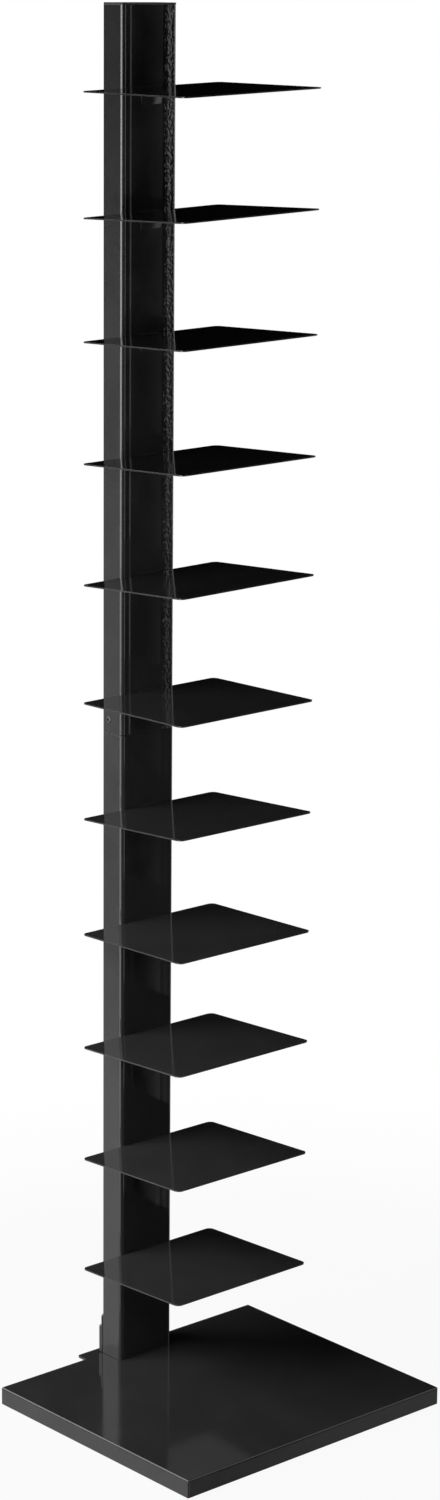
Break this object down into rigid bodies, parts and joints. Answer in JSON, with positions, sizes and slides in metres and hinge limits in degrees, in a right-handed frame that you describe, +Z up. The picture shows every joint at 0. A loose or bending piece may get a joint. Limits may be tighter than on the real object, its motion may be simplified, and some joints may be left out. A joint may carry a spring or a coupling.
{
  "type": "bookcase",
  "caption": "Tall narrow spine bookshelf: a rectangular steel post on a flat base carries small cantilevered steel shelves.",
  "frame": {"origin": "middle of the footprint, on the floor", "axes": "+Z up along the post, +X to the right when seen from the front, -Y towards the front, where the shelves reach out"},
  "size_m": [0.402, 0.3614, 1.6573],
  "materials": {
    "gloss_black": "gloss black powder coat",
    "satin_black": "satin black",
    "zinc": "zinc plated",
    "black_plastic": "fine grain black"
  },
  "bodies": {
    "root": {"base_tray": "gloss_black", "base_rib_left": "satin_black", "base_rib_right": "satin_black", "clamp_bar": "gloss_black", "clamp_bolt_left": "zinc", "clamp_bolt_right": "zinc", "foot_bolt_1": "zinc", "foot_bolt_2": "zinc", "foot_bolt_3": "zinc", "foot_bolt_4": "zinc", "foot_bracket": "gloss_black", "glide_back_left": "black_plastic", "glide_back_right": "black_plastic", "glide_front_left": "black_plastic", "glide_front_right": "black_plastic", "joint_sleeve": "satin_black", "lower_post": "gloss_black", "post_cap": "black_plastic", "post_plug": "satin_black", "shelf_01": "gloss_black", "shelf_02": "gloss_black", "shelf_03": "gloss_black", "shelf_04": "gloss_black", "shelf_05": "gloss_black", "shelf_06": "gloss_black", "shelf_07": "gloss_black", "shelf_08": "gloss_black", "shelf_09": "gloss_black", "shelf_10": "gloss_black", "shelf_11": "gloss_black", "sleeve_screw_left": "gloss_black", "sleeve_screw_right": "gloss_black", "tab_screw_01_left": "gloss_black", "tab_screw_01_right": "gloss_black", "tab_screw_02_left": "gloss_black", "tab_screw_02_right": "gloss_black", "tab_screw_03_left": "gloss_black", "tab_screw_03_right": "gloss_black", "tab_screw_04_left": "gloss_black", "tab_screw_04_right": "gloss_black", "tab_screw_05_left": "gloss_black", "tab_screw_05_right": "gloss_black", "tab_screw_06_left": "gloss_black", "tab_screw_06_right": "gloss_black", "tab_screw_07_left": "gloss_black", "tab_screw_07_right": "gloss_black", "tab_screw_08_left": "gloss_black", "tab_screw_08_right": "gloss_black", "tab_screw_09_left": "gloss_black", "tab_screw_09_right": "gloss_black", "tab_screw_10_left": "gloss_black", "tab_screw_10_right": "gloss_black", "tab_screw_11_left": "gloss_black", "tab_screw_11_right": "gloss_black", "upper_post": "gloss_black", "weld_nut_left": "zinc", "weld_nut_right": "zinc"}
  },
  "joints": []
}
